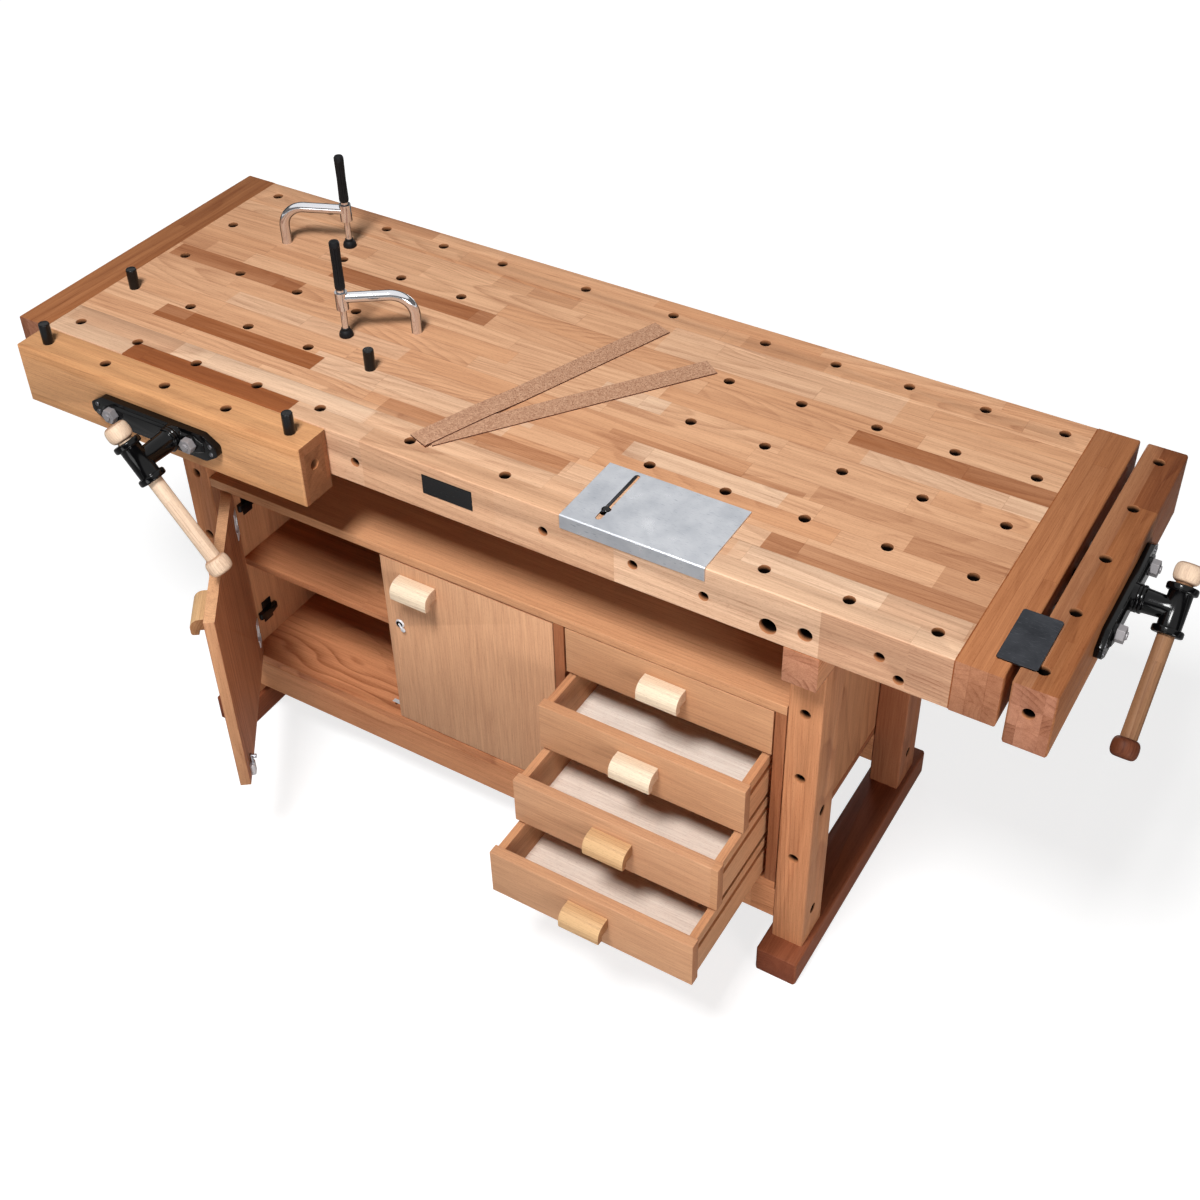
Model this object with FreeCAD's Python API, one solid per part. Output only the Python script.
# Cabinet maker's workbench: a laminated top with dog holes, a front vise and an end vise,
# two trestles joined by stretchers, and a cabinet with two doors and four drawers.
# Lengths are in millimetres. While it is being modelled, X runs right from the left end of the top,
# Y runs back from the front of the top, and Z runs up from the floor.
import FreeCAD, Part
import math
import os
from FreeCAD import Vector

os.makedirs("parts", exist_ok=True)

# Driving dimensions: top
bench_height = 900.0
top_length = 1920.0
top_depth = 646.0
apron_height = 98.0
beam_depth = 86.0
panel_thickness = 40.0
end_cap_width = 71.0
tongue_length = 14.0
tongue_thickness = 12.0
edge_bevel = 2.0

# Dog holes: columns along the bench, rows across it
dog_radius = 10.0
dog_first_column = 115.0
dog_spaces = [140.0] * 4 + [190.0] * 3 + [140.0] * 4
dog_first_row = 43.0
dog_row_pitch = 140.0
dog_row_count = 5
middle_columns = (5, 6)
apron_holes = [(776, 850, 9), (1153, 853, 9), (1319, 853, 9), (1445, 843, 9),
               (1555.5, 831, 15), (1617, 842, 12.5), (1736, 853, 9), (1769, 822, 9)]
apron_hole_depth = 60.0

# Trestles
leg_width = 60.0
leg_depth = 80.0
leg_front = 37.0
leg_rear_front = 471.0
leg_left_faces = (310.0, 1583.0)
foot_width = 80.0
foot_length = 600.0
foot_height = 57.0
foot_front = -6.0
foot_bevel = 4.0
bearer_height = 70.0
bearer_length = 586.0
tenon_inset = 12.0
tenon_length = 32.0
leg_hole_heights = (638.0, 488.0, 285.0)
leg_hole_depth = 50.0
stretcher_low = 105.0
stretcher_height = 75.0
stretcher_depth = 60.0
stretcher_front = 38.0
stretcher_rear = 471.0
bolt_height = 128.0
cabinet_bolt_height = 391.0
bolt_front = 74.0
bolt_rear = 510.0

# Cabinet between the legs
cabinet_left = 371.5
cabinet_right = 1581.5
cabinet_front = 38.0
cabinet_rear = 551.0
cabinet_top_height = 637.0
board = 20.0
back_thickness = 8.0
divider_left = 1137.0
shelf_top = 430.0
shelf_thickness = 16.0
shelf_front = 64.0

# Doors
door_thickness = 20.0
door_low = 203.0
door_high = 614.0
left_door_span = (395.0, 765.0)
right_door_span = (767.0, 1135.0)
left_door_angle = 53.4
hinge_inset = 65.0
cup_radius = 17.5
cup_depth = 11.0
cup_from_edge = 22.0
cup_wall = 1.5
cup_flange = (11.0, 31.0)
knuckle_radius = 3.5
knuckle_half = 13.0
knuckle_shift = (6.0, 4.0)
arm_outline = [(0, 14), (6, 10), (10, 14), (12, 46), (8, 62), (0, 62)]
arm_half = 7.0
arm_plate = (2.0, 26.0, 52.0, 26.0)
lock_place = (796.0, 460.0)
lock_radius = 8.0
lock_ring = [(0, 4), (9, 4), (12, 1.5), (12, 0)]
lock_keyway = (0.8, 4.0)
cam_half = 7.0
cam_length = 40.0
cam_gauge = 3.0
door_bolt_x = 738.0
door_bolt_radius = 3.0
door_bolt_stand = 5.0
bolt_knob = (4.0, 48.0, 2.0, 8.0)
bolt_guide = (9.0, 9.0, 6.0, 30.0)
floor_hole_radius = 3.5

# Drawers, from the top one down
drawer_span = (1161.0, 1558.5)
drawer_front_height = 101.7
drawer_gap = 2.0
drawer_pull_outs = (0.0, 92.0, 180.0, 262.0)
drawer_side = 14.0
drawer_side_inset = 4.0
drawer_side_drop = 3.0
drawer_front_thickness = 20.0
drawer_rear = 500.0
drawer_bottom = 6.0
groove_depth = 7.0
groove_height = 13.0
groove_drop = 22.0
runner_play = 0.8

# Pulls: a hood with a rounded front and a finger groove under it; each profile point is (out, up)
pull_width = 79.0
pull_reach = 34.0
pull_hood = [(0, 18), (25, 17), (32, 11.5), (34, 1)]
pull_lip = [(33.5, -15), (30.5, -18), (22.5, -18), (20.5, -15)]
pull_groove = [(18.5, -8), (13, -6), (0, -6)]
pull_end_bevel = 1.5
pull_right_x = 848.5
pull_drawer_x = 1358.3
pull_height_z = 568.0
pull_drawer_rise = 4.5

# Vise jaws and hardware
front_jaw_span = (70.0, 720.0)
front_jaw_depth = 73.0
end_jaw_span = (1932.3, 2000.5)
jaw_height = 120.0
play = 0.3
jaw_bevel = 3.0
front_jaw_row = -38.0
front_jaw_end_hole = (30.0, 50.0, 40.0)
end_jaw_column = 1963.6
end_jaw_blind = 38.0
end_jaw_side_hole = (49.0, 28.0)
vise_height = 842.0
front_vise_x = 398.0
front_rod_pitch = 180.0
front_screw_offset = 50.0
front_head_reach = 98.0
end_vise_y = 323.0
end_rod_pitch = 174.0
end_screw_offset = 5.0
end_head_reach = 79.0
rod_radius = 11.0
rod_length = 345.0
running_play = 0.05
screw_radius = 12.5
screw_length = 380.0
bracket_walls = {"front": 26.0, "end": 22.0}
bracket_overhang = 22.0
bracket_drop = 24.0
sleeve_length = 12.0
handle_radius = 13.5
knob_radius = 22.0
knob_half = 16.0
head_half = 40.0
head_radius = 19.0
head_flange = 12.0
head_flange_radius = 25.0
head_flange_round = 3.5
handle_top = 59.0
handle_low = 222.0
front_handle_angle = 51.6
end_handle_angle = 45.7

# Loose sheets on the top: a plate lapping the front edge, a plate over the end vise's gap, two cork strips
edge_plate_span = (1187.0, 1447.0)
edge_plate_rear = 154.0
edge_plate_drop = 24.0
sheet_gauge = 3.0
slot_x = 1245.0
slot_ends = (22.0, 142.0)
slot_half = 5.0
eye_y = 46.0
eye_radius = 8.0
gap_plate = (1895.0, 1957.0, 34.0, 151.0)
gap_plate_corner = 3.0
cork_width = 42.0
cork_climb = (130.0, 210.0)
cork_runs = [((890, 60), (1199, 485), 0.0), ((879, 45), (1059, 554), sheet_gauge)]

# Bench dogs and hold-downs
dog_length = 104.0
dog_proud = 41.0
post_depth = 85.0
arm_height = 980.0
arm_bend = 45.0
arm_reach = 128.0
hub_radius = 11.5
hub_low = 957.0
hub_height = 35.0
spindle_radius = 6.0
spindle_low = 912.0
spindle_high = 1046.0
spindle_collar = (8.0, 993.5, 4.5)
grip_profile = [(0, 998), (8, 998), (9.5, 1003), (8.7, 1045), (9.5, 1086), (8, 1094), (0, 1094)]
pad_radius = 13.0
pad_low = 900.3
pad_centre = 903.0
pad_neck = (8.0, 917.0)
hold_downs = [(255.0, 463.0, 22.5), (675.0, 323.0, 215.5)]

# The whole bench spans these lengths; its origin is on the floor under their middle
reach_x = end_jaw_span[1] + end_head_reach + 26.0
reach_front = cabinet_front - (left_door_span[1] - left_door_span[0]) * math.sin(math.radians(left_door_angle))
origin = Vector(reach_x / 2, (reach_front + top_depth) / 2, 0)

up = Vector(0, 0, 1)
top_low = bench_height - apron_height
panel_low = bench_height - panel_thickness
bearer_low = top_low - bearer_height


def block(x0, x1, y0, y1, z0, z1):
    return Part.makeBox(x1 - x0, y1 - y0, z1 - z0, Vector(x0, y0, z0))


def pin(radius, start, direction, length):
    return Part.makeCylinder(radius, length, start, direction)


def bevelled(solid, size, direction, near=None):
    # Bevels the straight edges that run along the given direction; near = (normal, distance) picks one face's
    edges = [e for e in solid.Edges if abs(abs(e.tangentAt(e.FirstParameter).dot(direction)) - 1) < 1e-6]
    if near:
        edges = [e for e in edges if abs(e.CenterOfMass.dot(near[0]) - near[1]) < 0.01]
    return solid.makeChamfer(size, edges)


def prism(points, sweep):
    # Extrudes a closed outline of straight sides
    wire = Part.makePolygon(points + [points[0]])
    return Part.Face(wire).extrude(sweep)


def turned(profile, base, axis):
    # Spins a closed half outline round an axis
    wire = Part.makePolygon(profile + [profile[0]])
    return Part.Face(wire).revolve(base, axis, 360)


def save(node, *solids):
    shape = solids[0] if len(solids) == 1 else Part.makeCompound(list(solids))
    shape = shape.copy()
    shape.translate(Vector(0, 0, 0) - origin)
    shape.exportStep("parts/" + node + ".step")


def dog_columns():
    columns = [dog_first_column]
    for space in dog_spaces:
        columns.append(columns[-1] + space)
    return columns


def dog_rows():
    return [dog_first_row + dog_row_pitch * i for i in range(dog_row_count)]


# Top
def make_beam(front, row):
    beam = block(end_cap_width, top_length - end_cap_width, front, front + beam_depth, top_low, bench_height)
    outer = front if front == 0 else top_depth
    beam = bevelled(beam, edge_bevel, Vector(1, 0, 0), (Vector(0, 1, 0), outer))
    return beam.cut([pin(dog_radius, Vector(x, row, top_low - 1), up, apron_height + 2) for x in dog_columns()])


def make_front_beam():
    beam = make_beam(0, dog_rows()[0])
    holes = [pin(r, Vector(x, -1, z), Vector(0, 1, 0), apron_hole_depth) for x, z, r in apron_holes]
    return beam.cut(holes + vise_passages("front"))


def make_panel():
    back = top_depth - beam_depth
    right = top_length - end_cap_width
    panel = block(end_cap_width, right, beam_depth, back, panel_low, bench_height)
    middle = panel_low + panel_thickness / 2
    tongues = block(end_cap_width - tongue_length, right + tongue_length, beam_depth, back,
                    middle - tongue_thickness / 2, middle + tongue_thickness / 2)
    columns = [x for i, x in enumerate(dog_columns()) if i not in middle_columns]
    holes = [pin(dog_radius, Vector(x, y, panel_low - 1), up, panel_thickness + 2)
             for x in columns for y in dog_rows()[1:4]]
    return panel.fuse(tongues).cut(holes)


def make_end_cap(x0):
    outer = x0 if x0 == 0 else top_length
    cap = block(x0, x0 + end_cap_width, 0, top_depth, top_low, bench_height)
    cap = bevelled(cap, edge_bevel, Vector(0, 1, 0), (Vector(1, 0, 0), outer))
    middle = panel_low + panel_thickness / 2
    groove = block(end_cap_width - tongue_length, top_length - end_cap_width + tongue_length,
                   beam_depth, top_depth - beam_depth, middle - tongue_thickness / 2, middle + tongue_thickness / 2)
    return cap.cut(groove)


# Trestles
def leg_tenon(x0, y0, z0, z1):
    return block(x0 + tenon_inset, x0 + leg_width - tenon_inset, y0 + tenon_inset, y0 + leg_depth - tenon_inset, z0, z1)


def leg_tenons(x0, y0):
    return [leg_tenon(x0, y0, foot_height - tenon_length, foot_height),
            leg_tenon(x0, y0, bearer_low, bearer_low + tenon_length)]


def bolt_places():
    # Each bolt enters the outer side of a leg: (leg index, y, z)
    return [(side, y, bolt_height) for side in (0, 1) for y in (bolt_front, bolt_rear)] + \
           [(side, bolt_front, cabinet_bolt_height) for side in (0, 1)]


def bolt_line(side, y, z):
    outer = leg_left_faces[side] + (leg_width if side else 0)
    inward = Vector(-1 if side else 1, 0, 0)
    return Vector(outer, y, z), inward


def make_bolt(side, y, z):
    start, inward = bolt_line(side, y, z)
    head = pin(9.0, start + inward * 4, inward, 10)
    socket = Part.makeCylinder(4.0, 6, start + inward * 4, inward)
    shank = pin(4.0, start + inward * 14, inward, leg_width - 14 + (60 if z == bolt_height else 12))
    return head.fuse(shank).cut(socket)


def make_leg(side, y0):
    x0 = leg_left_faces[side]
    leg = bevelled(block(x0, x0 + leg_width, y0, y0 + leg_depth, foot_height, bearer_low), edge_bevel, up)
    leg = leg.fuse(leg_tenons(x0, y0))
    cuts = []
    for where in bolt_places():
        if where[0] == side and y0 < where[1] < y0 + leg_depth:
            start, inward = bolt_line(*where)
            cuts.append(pin(10.0, start, inward, 14))
            cuts.append(pin(4.0, start, inward, leg_width))
    if y0 == leg_front:
        cuts += [pin(dog_radius, Vector(x0 + leg_width / 2, y0 - 1, z), Vector(0, 1, 0), leg_hole_depth)
                 for z in leg_hole_heights]
    return leg.cut(cuts)


def make_foot(side):
    x0 = leg_left_faces[side] - (foot_width - leg_width) / 2
    foot = block(x0, x0 + foot_width, foot_front, foot_front + foot_length, 0, foot_height)
    foot = bevelled(bevelled(foot, foot_bevel, up), edge_bevel, Vector(0, 1, 0))
    mortises = [leg_tenons(leg_left_faces[side], y)[0] for y in (leg_front, leg_rear_front)]
    return foot.cut(mortises)


def make_bearer(side):
    x0 = leg_left_faces[side]
    bearer = block(x0, x0 + leg_width, 0, bearer_length, bearer_low, top_low)
    mortises = [leg_tenons(x0, y)[1] for y in (leg_front, leg_rear_front)]
    return bearer.cut(mortises)


def make_stretcher(y0):
    rail = block(leg_left_faces[0] + leg_width, leg_left_faces[1], y0, y0 + stretcher_depth,
                 stretcher_low, stretcher_low + stretcher_height)
    shanks = [make_bolt(*where) for where in bolt_places()]
    return bevelled(rail, edge_bevel, Vector(1, 0, 0)).cut(shanks)


# Cabinet
inner_left = cabinet_left + board
inner_right = cabinet_right - board
floor_low = stretcher_low + stretcher_height
floor_high = floor_low + board
lid_low = cabinet_top_height - board


def make_cabinet_board(z0):
    return bevelled(block(cabinet_left, cabinet_right, cabinet_front, cabinet_rear, z0, z0 + board),
                    1.0, Vector(1, 0, 0))


def make_side(x0):
    side = block(x0, x0 + board, cabinet_front, cabinet_rear, floor_high, lid_low)
    shanks = [make_bolt(*where) for where in bolt_places()]
    return side.cut(shanks)


def make_divider():
    return block(divider_left, divider_left + board, cabinet_front, cabinet_rear - back_thickness, floor_high, lid_low)


def make_shelf():
    shelf = block(inner_left, divider_left, shelf_front, cabinet_rear - back_thickness,
                  shelf_top - shelf_thickness, shelf_top)
    return bevelled(shelf, 1.0, Vector(1, 0, 0))


def drawer_top(index):
    return lid_low - drawer_gap - index * (drawer_front_height + drawer_gap)


def groove_span(index):
    high = drawer_top(index) - drawer_side_drop - groove_drop
    return high - groove_height, high


def make_runners(index):
    low, high = groove_span(index)
    span = (drawer_span[0] + drawer_side_inset, drawer_span[1] - drawer_side_inset)
    rear = cabinet_rear - back_thickness
    front = cabinet_front + drawer_front_thickness + 12
    left = block(divider_left + board, span[0] + groove_depth - runner_play, front, rear,
                 low + runner_play, high - runner_play)
    right = block(span[1] - groove_depth + runner_play, inner_right, front, rear,
                  low + runner_play, high - runner_play)
    return [left, right]


# Doors
def hinge_heights():
    return (door_low + hinge_inset, door_high - hinge_inset)


def make_door(span, hinge_x, inward):
    door = block(span[0], span[1], cabinet_front, cabinet_front + door_thickness, door_low, door_high)
    cuts = [pin(cup_radius, Vector(hinge_x + inward * cup_from_edge, cabinet_front + door_thickness, z),
                Vector(0, -1, 0), cup_depth) for z in hinge_heights()]
    return bevelled(door, 1.0, up).cut(cuts)


def make_hinge_cup(hinge_x, inward, z):
    # Flanged steel cup with the knuckle that its arm would hold
    rear = cabinet_front + door_thickness
    x = hinge_x + inward * cup_from_edge
    cup = pin(cup_radius, Vector(x, rear, z), Vector(0, -1, 0), cup_depth)
    hollow = pin(cup_radius - cup_wall, Vector(x, rear + 2, z), Vector(0, -1, 0), cup_depth)
    half_width, half_height = cup_flange
    flange = block(x - half_width, x + half_width, rear, rear + cup_wall, z - half_height, z + half_height)
    shift_in, shift_forward = knuckle_shift
    knuckle = pin(knuckle_radius, Vector(x - inward * shift_in, rear - shift_forward, z - knuckle_half), up,
                  2 * knuckle_half)
    return cup.fuse(flange).cut(hollow).fuse(knuckle)


def make_hinge_arm(face_x, inward, z):
    # Arm on its mounting plate, screwed to the cabinet side behind the door
    y = cabinet_front + door_thickness
    outline = [Vector(face_x + inward * reach, y + back, z - arm_half) for reach, back in arm_outline]
    arm = prism(outline, up * (2 * arm_half))
    gauge, plate_front, plate_rear, plate_half = arm_plate
    x0, x1 = sorted((face_x, face_x + inward * gauge))
    return arm.fuse(block(x0, x1, y + plate_front, y + plate_rear, z - plate_half, z + plate_half))


def make_pull(x, face_y, z):
    # The hood's front is a shallow arc, its lip hangs in front of the finger groove, and its back is glued on
    def corner(place):
        return Vector(x - pull_width / 2, face_y - place[0], z + place[1])

    hood = [corner(place) for place in pull_hood]
    under = [corner(place) for place in [pull_hood[-1]] + pull_lip + pull_groove + [pull_hood[0]]]
    front = Part.Arc(hood[1], hood[2], hood[3]).toShape()
    outline = Part.Wire([Part.makeLine(hood[0], hood[1]), front] +
                        [Part.makeLine(start, end) for start, end in zip(under, under[1:])])
    pull = Part.Face(outline).extrude(Vector(pull_width, 0, 0))
    ends = [e for e in pull.Edges if abs(e.tangentAt(e.FirstParameter).x) < 1e-6
            and e.BoundBox.YMin < face_y - pull_lip[2][0]]
    return pull.makeChamfer(pull_end_bevel, ends)


def make_lock():
    # Round cam lock: a face ring in front of the door, its barrel, and a cam hanging behind
    x, z = lock_place
    face = cabinet_front - play
    profile = [Vector(x + radius, face - proud, z) for radius, proud in lock_ring]
    ring = turned(profile + [Vector(x, face, z)], Vector(x, 0, z), Vector(0, 1, 0))
    barrel = pin(lock_radius, Vector(x, face, z), Vector(0, 1, 0), door_thickness + cam_gauge)
    half_slot, slot_reach = lock_keyway
    keyway = block(x - half_slot, x + half_slot, cabinet_front - slot_reach, cabinet_front + slot_reach,
                   z - slot_reach, z + slot_reach)
    rear = cabinet_front + door_thickness
    cam = block(x - cam_half, x + cam_half, rear + play, rear + cam_gauge, z - cam_length, z)
    tip = pin(cam_half, Vector(x, rear + play, z - cam_length), Vector(0, 1, 0), cam_gauge - play)
    return ring.fuse([barrel, cam, tip]).cut(keyway)


def make_door_bolt():
    # Slim bolt that drops from the inner face of the left door into the cabinet floor
    y = cabinet_front + door_thickness + door_bolt_stand
    rod = pin(door_bolt_radius, Vector(door_bolt_x, y, door_low + 2), up, 52)
    radius, height, start, length = bolt_knob
    knob = pin(radius, Vector(door_bolt_x, y + start, door_low + height), Vector(0, 1, 0), length)
    return rod.fuse(knob)


def make_bolt_guide():
    y = cabinet_front + door_thickness
    half_width, depth, low, high = bolt_guide
    guide = block(door_bolt_x - half_width, door_bolt_x + half_width, y, y + depth, door_low + low, door_low + high)
    bore = pin(door_bolt_radius + running_play, Vector(door_bolt_x, y + door_bolt_stand, door_low), up, 40)
    return bevelled(guide, edge_bevel, up).cut(bore)


def left_door_placed(shape):
    shape = shape.copy()
    shape.rotate(Vector(left_door_span[0], cabinet_front, 0), up, -left_door_angle)
    return shape


# Drawers
def make_drawer(index):
    high = drawer_top(index)
    low = high - drawer_front_height
    x0, x1 = drawer_span[0] + drawer_side_inset, drawer_span[1] - drawer_side_inset
    y0 = cabinet_front + drawer_front_thickness
    side_high = high - drawer_side_drop
    side_low = low + 6
    front = bevelled(block(drawer_span[0], drawer_span[1], cabinet_front, y0, low, high), 1.0, Vector(1, 0, 0))
    shell = block(x0, x1, y0, drawer_rear, side_low, side_high)
    inside = block(x0 + drawer_side, x1 - drawer_side, y0, drawer_rear - drawer_side,
                   side_low + drawer_bottom + 4, side_high + 1)
    under = block(x0 + drawer_side, x1 - drawer_side, y0, drawer_rear - drawer_side, side_low, side_low + 4)
    groove_low, groove_high = groove_span(index)
    grooves = [block(x0, x0 + groove_depth, y0 + 8, drawer_rear, groove_low, groove_high),
               block(x1 - groove_depth, x1, y0 + 8, drawer_rear, groove_low, groove_high)]
    box = shell.cut([inside, under] + grooves).fuse(front)
    box.translate(Vector(0, -drawer_pull_outs[index], 0))
    return box


def make_drawer_pull(index):
    middle = drawer_top(index) - drawer_front_height / 2
    return make_pull(pull_drawer_x, cabinet_front - drawer_pull_outs[index], middle + pull_drawer_rise)


# Vises
# Vise hardware is drawn flat: u along the jaw, v up, n out from the jaw's outer face
vises = {
    "front": {"place": FreeCAD.Matrix(1, 0, 0, front_vise_x, 0, 0, -1, -front_jaw_depth,
                                      0, 1, 0, vise_height, 0, 0, 0, 1),
              "pitch": front_rod_pitch, "offset": front_screw_offset, "head": front_head_reach,
              "angle": front_handle_angle, "lean": 1, "depth": front_jaw_depth, "gap": 0.0},
    "end": {"place": FreeCAD.Matrix(0, 0, 1, end_jaw_span[1], 1, 0, 0, end_vise_y,
                                    0, 1, 0, vise_height, 0, 0, 0, 1),
            "pitch": end_rod_pitch, "offset": end_screw_offset, "head": end_head_reach,
            "angle": end_handle_angle, "lean": -1, "depth": end_jaw_span[1] - end_jaw_span[0],
            "gap": end_jaw_span[0] - top_length},
}
out = Vector(0, 0, 1)
plate_thickness = 18.0
flange_thickness = 13.0
flange_overhang = 55.0
flange_half_height = 27.0
flange_drop = 4.0
flange_tip = (9.0, 28.0)
flange_corner = 9.0
body_inset = 28.0
body_half_height = 19.0
body_tip = (8.0, 24.0)
body_bevel = 4.0
boss_radius = 15.5
plate_screw_places = (14.0, 8.0)
plate_screw_radius = 3.5
seat_radius = 24.0
seat_face = 21.0
seat_taper = 1.0
nut_across = 25.0
nut_height = 13.0
stud_radius = 6.5
stud_length = 3.0


def placed(name, shape):
    shape = shape.copy()
    shape.Placement = FreeCAD.Placement(vises[name]["place"])
    return shape


def rod_places(name):
    return [sign * vises[name]["pitch"] / 2 for sign in (-1, 1)]


def vise_passages(name):
    # Clear holes for the guide rods and the screw, right through jaw and bench edge
    rods = [pin(rod_radius + 1, Vector(u, 0, -rod_length), out, rod_length + 1) for u in rod_places(name)]
    screw = pin(screw_radius + 1.5, Vector(vises[name]["offset"], 0, -screw_length), out, screw_length + 1)
    return [placed(name, shape) for shape in rods + [screw]]


def plate_outline(half_length, half_height, tip, n):
    # A long bar whose two ends narrow over a length to a blunt tip; tip = (half height there, length)
    tip_half, length = tip
    corners = [(-half_length, -tip_half), (-half_length + length, -half_height), (half_length - length, -half_height),
               (half_length, -tip_half), (half_length, tip_half), (half_length - length, half_height),
               (-half_length + length, half_height), (-half_length, tip_half)]
    return [Vector(u, v - flange_drop, n) for u, v in corners]


def make_plate(name):
    # Cast face plate: a thick flange with tapered ends, a raised body, bosses for the rods, and the collar's seat
    spec = vises[name]
    half = spec["pitch"] / 2 + flange_overhang
    flange = prism(plate_outline(half, flange_half_height, flange_tip, 0), out * flange_thickness)
    flange = flange.makeFillet(flange_corner, [e for e in flange.Edges if abs(e.tangentAt(e.FirstParameter).z) > 0.99])
    body = prism(plate_outline(half - body_inset, body_half_height, body_tip, flange_thickness),
                 out * (plate_thickness - flange_thickness))
    body = body.makeChamfer(body_bevel, [e for e in body.Edges if e.BoundBox.ZMin > plate_thickness - 0.01])
    bosses = [pin(boss_radius, Vector(u, 0, flange_thickness - 1), out, plate_thickness - flange_thickness + 1)
              for u in rod_places(name)]
    screw_line = Vector(spec["offset"], 0, 0)
    seat = Part.makeCone(seat_radius, seat_radius - seat_taper, seat_face - flange_thickness,
                         screw_line + out * flange_thickness, out)
    plate = flange.fuse([body, seat] + bosses)
    holes = [pin(rod_radius, Vector(u, 0, -1), out, plate_thickness + 2) for u in rod_places(name)]
    holes.append(pin(screw_radius + running_play, screw_line - out, out, seat_face + 2))
    inset, spread = plate_screw_places
    screws = [pin(plate_screw_radius, Vector(su * (half - inset), sv * spread - flange_drop, -1), out,
                  flange_thickness + 2) for su in (-1, 1) for sv in (-1, 1)]
    return placed(name, plate.cut(holes + screws))


def hexagon(across, centre, sweep):
    radius = across / math.sqrt(3)
    points = [centre + Vector(radius * math.cos(math.radians(60 * i)), radius * math.sin(math.radians(60 * i)), 0)
              for i in range(6)]
    return prism(points, sweep)


def make_guide_rods(name):
    rods = []
    for u in rod_places(name):
        rod = pin(rod_radius, Vector(u, 0, -rod_length), out, rod_length + plate_thickness)
        nut = hexagon(nut_across, Vector(u, 0, plate_thickness), out * nut_height)
        stud = pin(stud_radius, Vector(u, 0, plate_thickness + nut_height), out, stud_length)
        rods.append(placed(name, rod.fuse([nut, stud])))
    return rods


def head_axis(name):
    # The way that the handle climbs through the head, in the plane of the jaw
    angle = math.radians(vises[name]["angle"])
    return Vector(-vises[name]["lean"] * math.cos(angle), math.sin(angle), 0)


def make_screw(name):
    # Screw, ringed collar and neck turned about one axis, with a flanged cross tube for the handle
    spec = vises[name]
    u, head = spec["offset"], spec["head"]
    seat = seat_face + play
    profile = [(0, -screw_length), (screw_radius - 2, -screw_length), (screw_radius, -screw_length + 3),
               (screw_radius, seat), (23, seat), (23, seat + 4), (21.5, seat + 5), (23, seat + 6),
               (23, seat + 10), (20, seat + 12), (18.5, head - 18), (18.5, head), (0, head)]
    spindle = turned([Vector(u + r, 0, n) for r, n in profile], Vector(u, 0, 0), out)
    axis = head_axis(name)
    centre = Vector(u, 0, head)
    tube = pin(head_radius, centre - axis * head_half, axis, 2 * head_half)
    flanges = [pin(head_flange_radius, centre + axis * start, axis, head_flange)
               for start in (-head_half, head_half - head_flange)]
    flanges = [f.makeFillet(head_flange_round, [e for e in f.Edges if e.Closed]) for f in flanges]
    bore = pin(handle_radius + 0.4, centre - axis * (head_half + 1), axis, 2 * head_half + 2)
    return placed(name, spindle.fuse([tube] + flanges).cut(bore))


def make_handle(name):
    # Wooden bar with a barrel-shaped knob on each end; it has slid down until its top knob rests on the head
    spec = vises[name]
    axis = head_axis(name)
    side = Vector(axis.y, -axis.x, 0)
    centre = Vector(spec["offset"], 0, spec["head"])
    solids = []
    low = centre - axis * (handle_low - knob_half)
    solids.append(pin(handle_radius, low, axis, handle_low + handle_top - 2 * knob_half))
    for middle in (centre + axis * handle_top, centre - axis * handle_low):
        waist = middle + side * knob_radius
        shoulder = knob_radius - 4
        bulge = Part.Arc(middle - axis * knob_half + side * shoulder, waist, middle + axis * knob_half + side * shoulder)
        edges = [bulge.toShape(),
                 Part.LineSegment(middle + axis * knob_half + side * shoulder, middle + axis * knob_half).toShape(),
                 Part.LineSegment(middle + axis * knob_half, middle - axis * knob_half).toShape(),
                 Part.LineSegment(middle - axis * knob_half, middle - axis * knob_half + side * shoulder).toShape()]
        solids.append(Part.Face(Part.Wire(edges)).revolve(middle, axis, 360))
    return [placed(name, s) for s in solids]


def make_bracket(name):
    # Cast bracket behind the bench edge: it guides the rods and holds the nut that the screw turns in
    spec = vises[name]
    edge = beam_depth if name == "front" else end_cap_width
    rear = -spec["depth"] - spec["gap"] - edge
    half = spec["pitch"] / 2 + bracket_overhang
    wall = bracket_walls[name]
    roof = panel_low - vise_height
    body = prism([Vector(-half, -bracket_drop, rear), Vector(half, -bracket_drop, rear), Vector(half, roof, rear),
                  Vector(-half, roof, rear)], out * -wall)
    sleeve_rear = rear - wall - sleeve_length
    sleeves = [pin(rod_radius + 6, Vector(u, 0, sleeve_rear), out, sleeve_length) for u in rod_places(name)]
    sleeves.append(pin(screw_radius + 5, Vector(spec["offset"], 0, sleeve_rear), out, sleeve_length))
    bores = [pin(rod_radius + running_play, Vector(u, 0, -rod_length), out, rod_length) for u in rod_places(name)]
    bores.append(pin(screw_radius + running_play, Vector(spec["offset"], 0, -screw_length), out, screw_length))
    return placed(name, body.fuse(sleeves).cut(bores))


def make_front_jaw():
    x0, x1 = front_jaw_span
    y = -front_jaw_depth
    low = bench_height - jaw_height
    jaw = block(x0, x1, y, -play, low, bench_height)
    jaw = bevelled(bevelled(jaw, jaw_bevel, up), edge_bevel, Vector(1, 0, 0))
    holes = [pin(dog_radius, Vector(x, front_jaw_row, low - 1), up, jaw_height + 2) for x in dog_columns()[:5]]
    depth, drop, length = front_jaw_end_hole
    holes.append(pin(dog_radius, Vector(x1 - depth, front_jaw_row, bench_height - drop), Vector(1, 0, 0), length))
    return jaw.cut(holes + vise_passages("front"))


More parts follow.
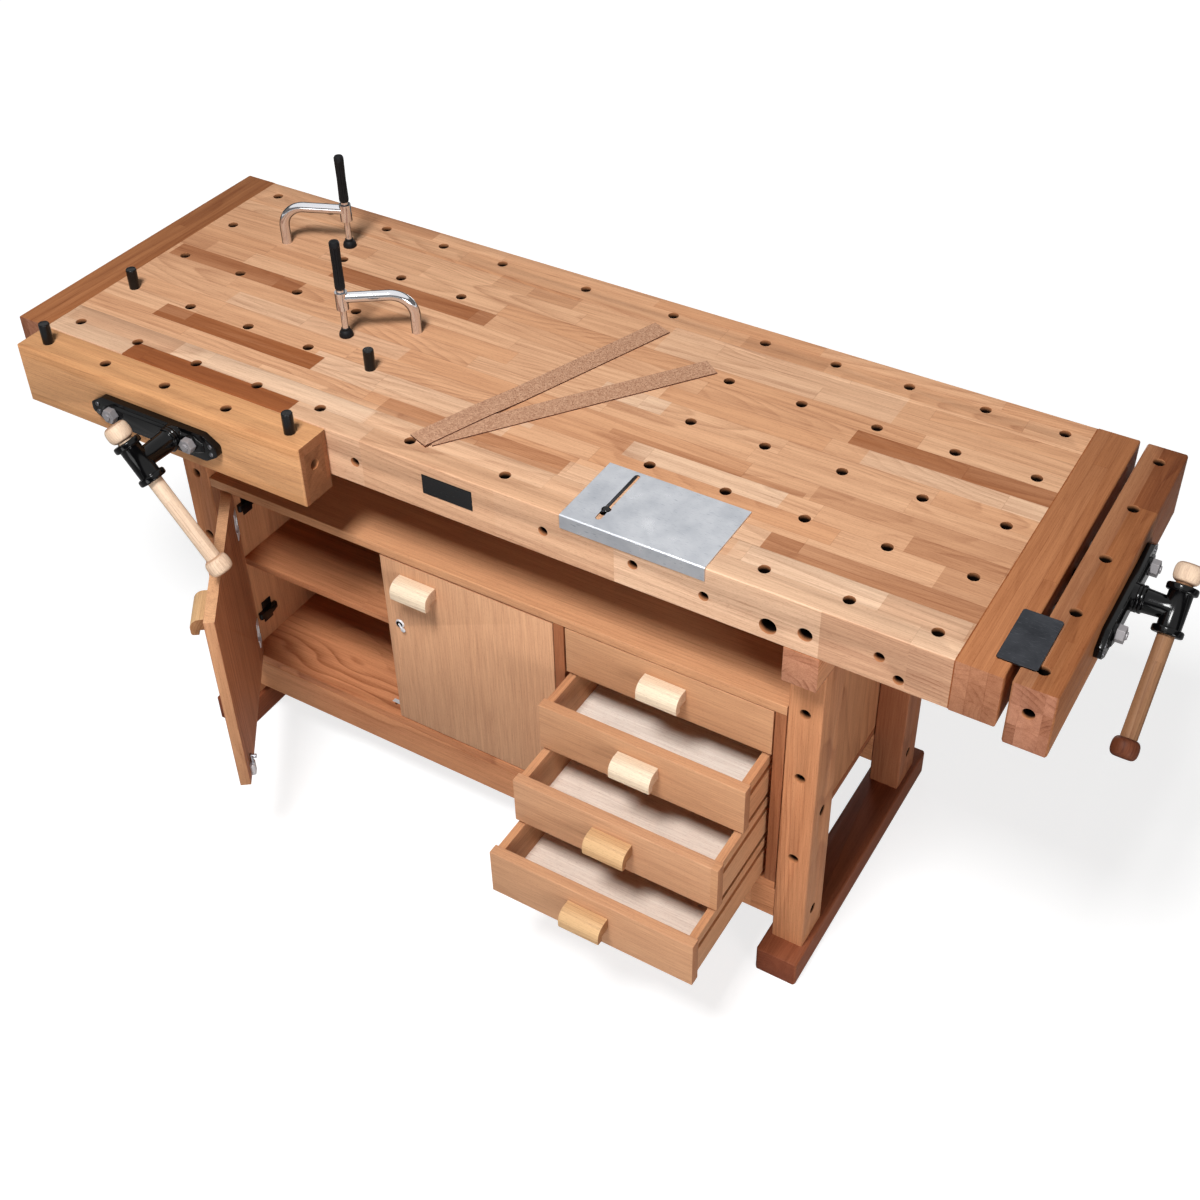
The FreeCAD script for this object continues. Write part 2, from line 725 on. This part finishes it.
def make_end_jaw():
    x0, x1 = end_jaw_span
    low = bench_height - jaw_height
    jaw = block(x0, x1, 0, top_depth, low, bench_height - play)
    jaw = bevelled(bevelled(jaw, jaw_bevel, up), edge_bevel, Vector(0, 1, 0))
    x = end_jaw_column
    holes = [pin(dog_radius, Vector(x, y, low - 1), up, jaw_height + 2) for y in dog_rows() if y != end_vise_y]
    holes.append(pin(dog_radius, Vector(x, end_vise_y, bench_height - end_jaw_blind), up, end_jaw_blind + 2))
    drop, depth = end_jaw_side_hole
    holes.append(pin(dog_radius, Vector(x, -1, bench_height - drop), Vector(0, 1, 0), depth + 1))
    return jaw.cut(holes + vise_passages("end"))


# Bench dogs, hold-downs and loose pieces
def make_dog(x, y):
    base = bench_height + dog_proud - dog_length
    dog = pin(dog_radius - running_play, Vector(x, y, base), up, dog_length)
    return dog.makeChamfer(1.5, dog.Edges)


def hold_down_axis(index):
    x, y, angle = hold_downs[index]
    along = Vector(math.cos(math.radians(angle)), math.sin(math.radians(angle)), 0)
    return Vector(x, y, 0), along


def screw_foot(index):
    base, along = hold_down_axis(index)
    return base + along * arm_reach


def make_post(index):
    # One bar bent from upright to level, welded to the threaded hub that carries the screw
    base, along = hold_down_axis(index)
    bar = dog_radius - running_play
    bend_low = arm_height - arm_bend
    corner = base + along * arm_bend + up * arm_height
    middle = base + along * (arm_bend * (1 - math.sqrt(0.5))) + up * (bend_low + arm_bend * math.sqrt(0.5))
    path = Part.Wire([Part.LineSegment(base + up * (bench_height - post_depth), base + up * bend_low).toShape(),
                      Part.Arc(base + up * bend_low, middle, corner).toShape(),
                      Part.LineSegment(corner, base + along * (arm_reach - 4) + up * arm_height).toShape()])
    ring = Part.Wire(Part.makeCircle(bar, base + up * (bench_height - post_depth), up))
    arm = path.makePipeShell([ring], True, True)
    foot = screw_foot(index)
    hub = pin(hub_radius, foot + up * hub_low, up, hub_height)
    return arm.fuse(hub).cut(pin(spindle_radius + running_play, foot + up * (hub_low - 5), up, hub_height + 10))


def make_spindle(index):
    foot = screw_foot(index)
    radius, low, length = spindle_collar
    collar = pin(radius, foot + up * low, up, length)
    return pin(spindle_radius, foot + up * spindle_low, up, spindle_high - spindle_low).fuse(collar)


def make_grip(index):
    # Ribbed hand grip over the top of the screw
    foot = screw_foot(index)
    grip = turned([foot + Vector(radius, 0, z) for radius, z in grip_profile], foot, up)
    return grip.cut(pin(spindle_radius, foot + up * (spindle_low + 78), up, spindle_high - spindle_low - 78))


def make_pad(index):
    # Low dome with a short collar; the screw's round end turns in it
    foot = screw_foot(index)
    neck_radius, high = pad_neck
    turn = [math.radians(angle) for angle in (0, 13, 26, 39, 52)]
    dome = [(pad_radius * math.cos(angle), pad_centre + pad_radius * math.sin(angle)) for angle in turn]
    profile = [(0, pad_low), (pad_radius, pad_low)] + dome + [(neck_radius, high), (0, high)]
    pad = turned([foot + Vector(radius, 0, z) for radius, z in profile], foot, up)
    return pad.cut(pin(spindle_radius + running_play, foot + up * (spindle_low - play), up, 10))


def make_edge_plate():
    # Bent steel plate that laps the front edge, with a keyhole slot over a dog hole
    x0, x1 = edge_plate_span
    high = bench_height + sheet_gauge
    low = bench_height - edge_plate_drop
    outline = [(edge_plate_rear, bench_height), (edge_plate_rear, high), (-1, high), (-sheet_gauge, high - 2),
               (-sheet_gauge, low), (0, low), (0, bench_height)]
    sheet = prism([Vector(x0, y, z) for y, z in outline], Vector(x1 - x0, 0, 0))
    slot = block(slot_x - slot_half, slot_x + slot_half, slot_ends[0], slot_ends[1], bench_height - 1, high + 1)
    ends = [pin(slot_half, Vector(slot_x, y, bench_height - 1), up, sheet_gauge + 2) for y in slot_ends]
    eye = pin(eye_radius, Vector(slot_x, eye_y, bench_height - 1), up, sheet_gauge + 2)
    return sheet.cut([slot, eye] + ends)


def make_gap_plate():
    return bevelled(block(*gap_plate, bench_height, bench_height + sheet_gauge), gap_plate_corner, up)


def make_cork(start, end, rise):
    # A thin strip laid on its flat; one end may climb over the other strip
    along = Vector(end[0] - start[0], end[1] - start[1], 0)
    length = along.Length
    along.normalize()
    across = Vector(-along.y, along.x, 0)
    base = Vector(start[0], start[1], bench_height) - across * (cork_width / 2)
    steps = [(0, 0), (length, 0)]
    if rise:
        steps = [(0, rise), (cork_climb[0], rise), (cork_climb[1], 0), (length, 0)]
    low = [base + along * s + up * z for s, z in steps]
    high = [p + up * sheet_gauge for p in reversed(low)]
    return prism(low + high, across * cork_width)


save("front_beam", make_front_beam())
save("back_beam", make_beam(top_depth - beam_depth, dog_rows()[4]))
save("top_panel", make_panel())
save("left_end_cap", make_end_cap(0))
save("right_end_cap", make_end_cap(top_length - end_cap_width).cut(vise_passages("end")))
save("front_legs", *[make_leg(side, leg_front) for side in (0, 1)])
save("back_legs", *[make_leg(side, leg_rear_front) for side in (0, 1)])
save("feet", *[make_foot(side) for side in (0, 1)])
save("bearers", *[make_bearer(side) for side in (0, 1)])
save("stretchers", make_stretcher(stretcher_front), make_stretcher(stretcher_rear))
save("frame_bolts", *[make_bolt(*where) for where in bolt_places()])

floor_hole = pin(floor_hole_radius, Vector(door_bolt_x, cabinet_front + door_thickness + door_bolt_stand, floor_low),
                 up, board + 1)
save("cabinet_floor", make_cabinet_board(floor_low).cut(floor_hole))
save("cabinet_top", make_cabinet_board(lid_low))
save("cabinet_sides", make_side(cabinet_left), make_side(inner_right))
save("cabinet_divider", make_divider())
save("cabinet_back", block(inner_left, inner_right, cabinet_rear - back_thickness, cabinet_rear, floor_high, lid_low))
save("shelf", make_shelf())
save("drawer_runners", *[runner for index in range(4) for runner in make_runners(index)])
save("hinge_arms", *[make_hinge_arm(face, way, z) for face, way in ((inner_left, 1), (divider_left, -1))
                     for z in hinge_heights()])

left_hinge, left_edge = left_door_span
right_edge, right_hinge = right_door_span
left_pull_x = left_edge + right_edge - pull_right_x
left_door = make_door(left_door_span, left_hinge, 1)
save("left_door", left_door_placed(left_door))
save("left_door_pull", left_door_placed(make_pull(left_pull_x, cabinet_front, pull_height_z)))
left_cups = [make_hinge_cup(left_hinge, 1, z) for z in hinge_heights()]
save("left_door_fittings", *[left_door_placed(shape) for shape in left_cups + [make_bolt_guide()]])
save("door_bolt", left_door_placed(make_door_bolt()))
lock_hole = pin(lock_radius + running_play, Vector(lock_place[0], 0, lock_place[1]), Vector(0, 1, 0), 100)
save("right_door", make_door(right_door_span, right_hinge, -1).cut(lock_hole))
save("right_door_pull", make_pull(pull_right_x, cabinet_front, pull_height_z))
save("right_hinge_cups", *[make_hinge_cup(right_hinge, -1, z) for z in hinge_heights()])
save("door_lock", make_lock())

for index in range(4):
    save("drawer_%d" % (index + 1), make_drawer(index))
    save("drawer_%d_pull" % (index + 1), make_drawer_pull(index))

save("front_jaw", make_front_jaw())
save("end_jaw", make_end_jaw())
save("vise_brackets", make_bracket("front"), make_bracket("end"))
for name in vises:
    save(name + "_jaw_plate", make_plate(name))
    save(name + "_guide_rods", *make_guide_rods(name))
    save(name + "_screw", make_screw(name))
    save(name + "_handle", *make_handle(name))

dog_places = [(dog_columns()[c], y) for y in (front_jaw_row, dog_rows()[1]) for c in (0, 4)]
for index, (x, y) in enumerate(dog_places):
    save("dog_%d" % (index + 1), make_dog(x, y))
for index in range(2):
    number = str(index + 1)
    save("hold_down_" + number + "_post", make_post(index))
    save("hold_down_" + number + "_screw", make_spindle(index))
    save("hold_down_" + number + "_grip", make_grip(index))
    save("hold_down_" + number + "_pad", make_pad(index))
save("steel_plates", make_edge_plate(), make_gap_plate())
save("cork_strips", *[make_cork(*run) for run in cork_runs])
